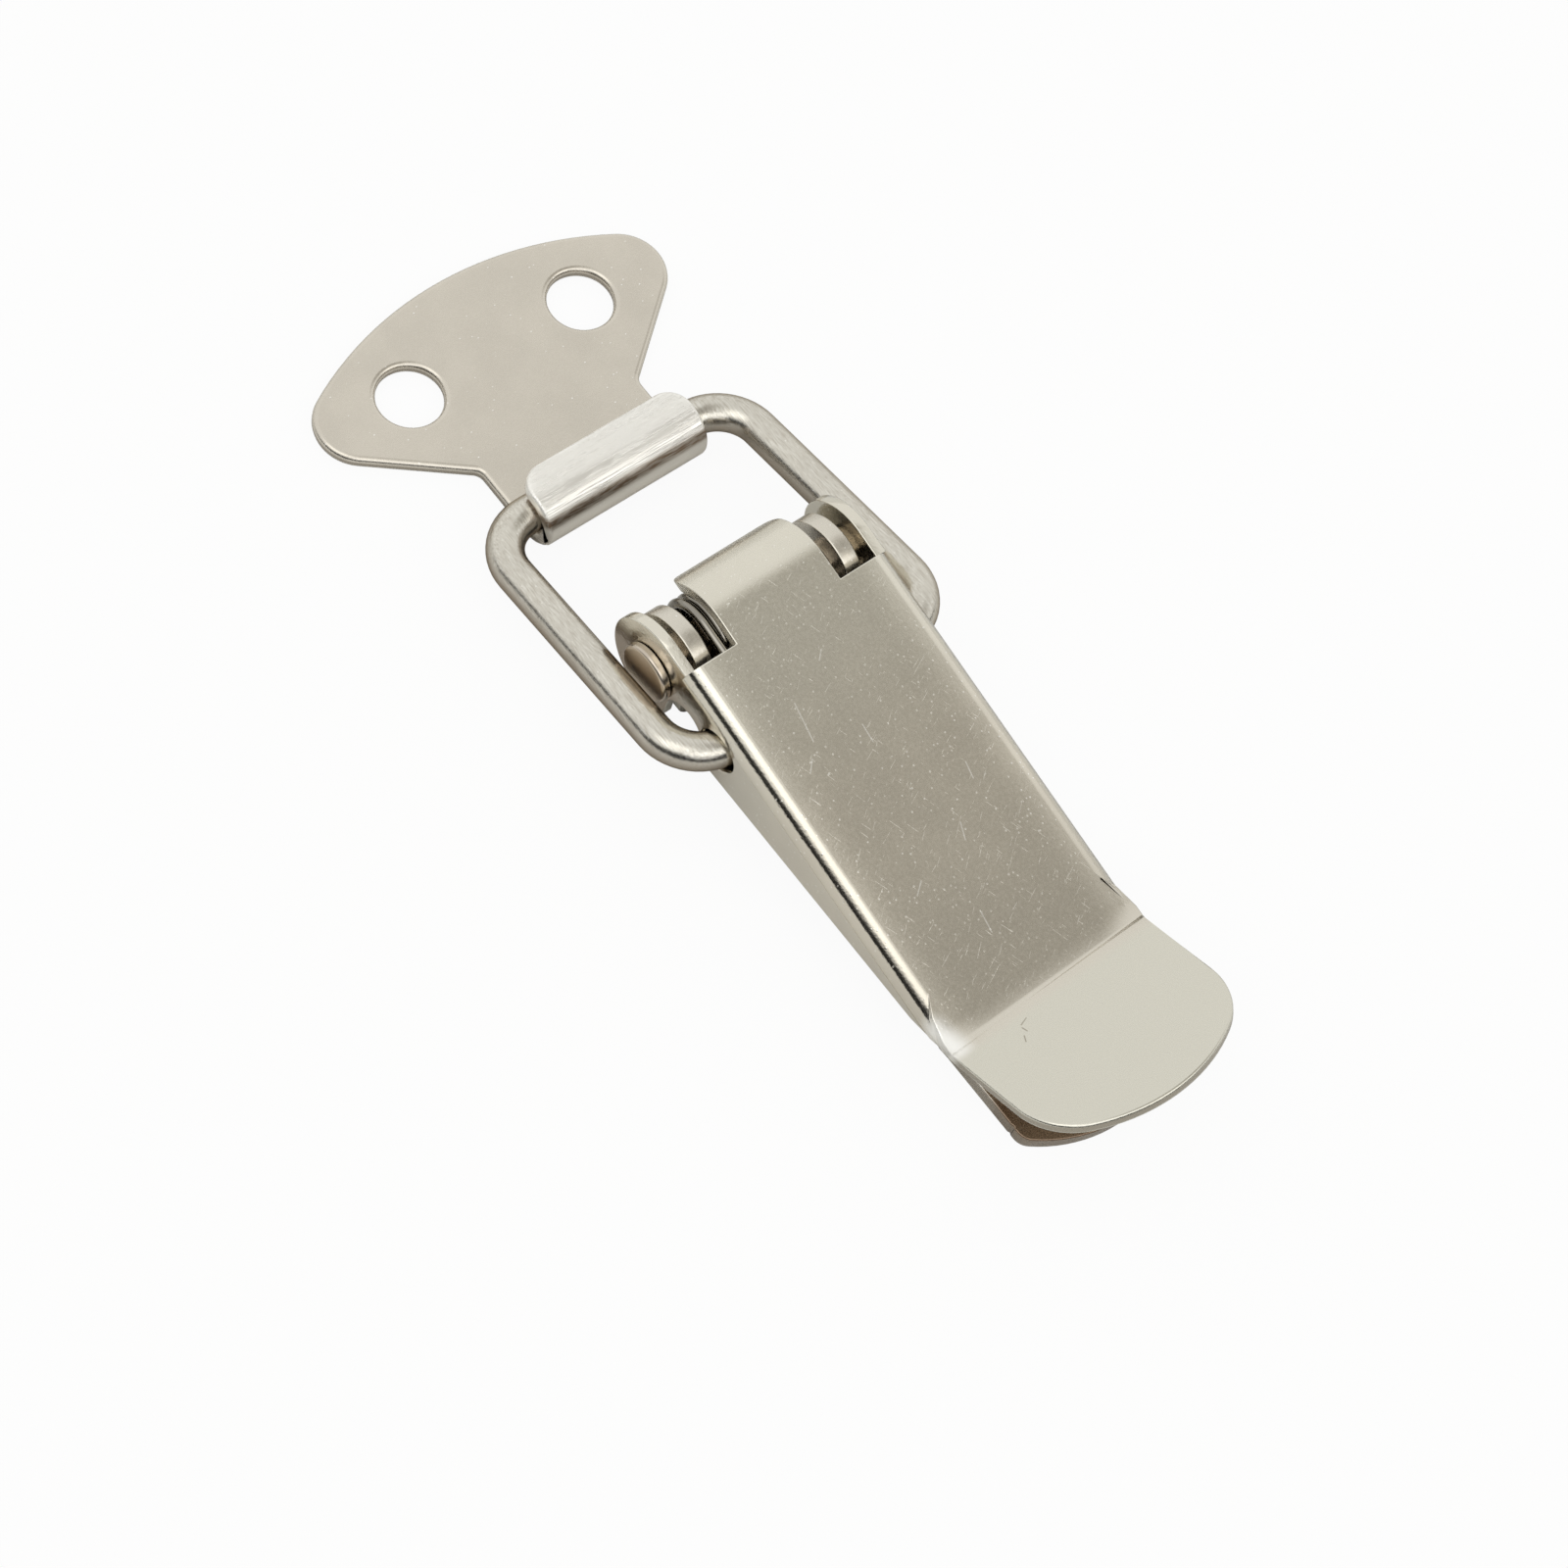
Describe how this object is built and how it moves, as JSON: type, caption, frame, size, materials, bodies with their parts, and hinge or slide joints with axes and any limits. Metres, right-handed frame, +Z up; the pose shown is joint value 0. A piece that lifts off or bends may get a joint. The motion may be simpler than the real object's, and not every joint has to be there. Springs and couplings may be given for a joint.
{
  "type": "over centre toggle latch",
  "caption": "Over centre toggle latch of folded sheet steel: a lever riveted to a low base pulls a bent wire bail that holds a hooked strike plate.",
  "frame": {"origin": "on the mounting face, straight under the rivet axis, midway between the base ears", "axes": "+X along the pull from the base towards the strike plate, +Y along the rivet towards its flat head, +Z up away from the mounting face"},
  "size_m": [0.0726, 0.0276, 0.0096],
  "materials": {
    "pressed_steel": "satin nickel plate",
    "bail_wire": "bright nickel plate",
    "rivet_steel": "bright nickel plate",
    "spring_steel": "plain spring wire"
  },
  "bodies": {
    "base": {"base": "pressed_steel", "rivet_pin": "rivet_steel", "torsion_spring": "spring_steel"},
    "lever": {"lever": "pressed_steel"},
    "bail": {"bail": "bail_wire"},
    "strike": {"strike_plate": "pressed_steel"}
  },
  "joints": [
    {"name": "lever_pivot", "type": "hinge", "parent": "base", "child": "lever", "pos_m": [0, 0, 0.00555], "axis": [0, 1, 0], "range_deg": [0, 125], "deforming": ["torsion_spring"]},
    {"name": "bail_swing", "type": "hinge", "parent": "lever", "child": "bail", "pos_m": [-0.00665, 0, 0.00545], "axis": [0, -1, 0], "range_deg": [0, 165]},
    {"name": "strike_swing", "type": "hinge", "parent": "bail", "child": "strike", "pos_m": [0.0141, 0, 0.00233], "axis": [0, -1, 0], "range_deg": [-45, 30]}
  ]
}
